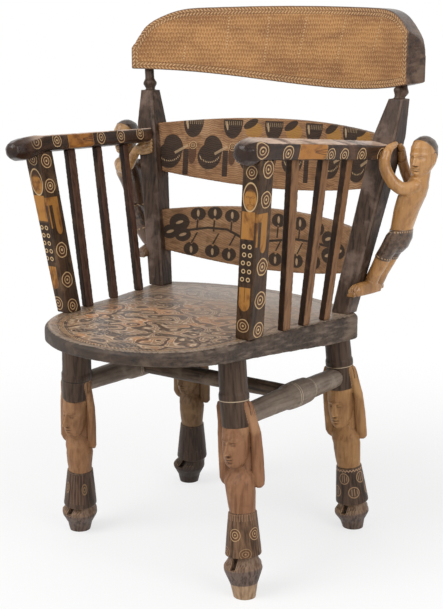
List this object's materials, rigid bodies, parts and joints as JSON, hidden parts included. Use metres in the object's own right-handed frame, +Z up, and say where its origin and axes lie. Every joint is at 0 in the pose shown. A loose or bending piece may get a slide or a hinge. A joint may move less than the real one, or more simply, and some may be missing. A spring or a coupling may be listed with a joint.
{
  "type": "carved armchair",
  "caption": "Carved wooden armchair with a bowed slatted back, figure legs, decorated arms and climbing figures on the back posts.",
  "frame": {"origin": "on the floor under the middle of the chair's outline", "axes": "+Z up; -Y is the front of the chair, +X is the right side for a viewer who faces the chair from the front"},
  "size_m": [0.7284, 0.626, 0.9864],
  "materials": {
    "seat_wood": "worn brown wood with incised figures, dark at the edge",
    "figure_wood": "light golden brown wood with dark hair and cloth",
    "leg_wood": "brown wood, dark stained above and below the figure",
    "stretcher_wood": "grey brown worn wood",
    "slat_wood": "tan wood with dark incised pattern",
    "crest_wood": "golden brown stippled wood with a dark rim",
    "arm_wood": "dark red brown wood, polished by use",
    "arm_post_wood": "dark brown wood with golden carved panels",
    "spindle_wood": "dark brown worn wood",
    "back_post_wood": "grey black worn wood"
  },
  "bodies": {
    "root": {"crest_rail": "crest_wood", "cross_stretcher": "stretcher_wood", "front_left_leg": "leg_wood", "front_right_leg": "leg_wood", "left_arm_post": "arm_post_wood", "left_arm_rest": "arm_wood", "left_arm_spindle_1": "spindle_wood", "left_arm_spindle_2": "spindle_wood", "left_arm_spindle_3": "spindle_wood", "left_back_post": "back_post_wood", "left_climbing_figure": "figure_wood", "left_side_stretcher": "stretcher_wood", "lower_back_slat": "slat_wood", "rear_left_leg": "leg_wood", "rear_right_leg": "leg_wood", "right_arm_post": "arm_post_wood", "right_arm_rest": "arm_wood", "right_arm_spindle_1": "spindle_wood", "right_arm_spindle_2": "spindle_wood", "right_arm_spindle_3": "spindle_wood", "right_back_post": "back_post_wood", "right_climbing_figure": "figure_wood", "right_side_stretcher": "stretcher_wood", "seat": "seat_wood", "upper_back_slat": "slat_wood"}
  },
  "joints": []
}
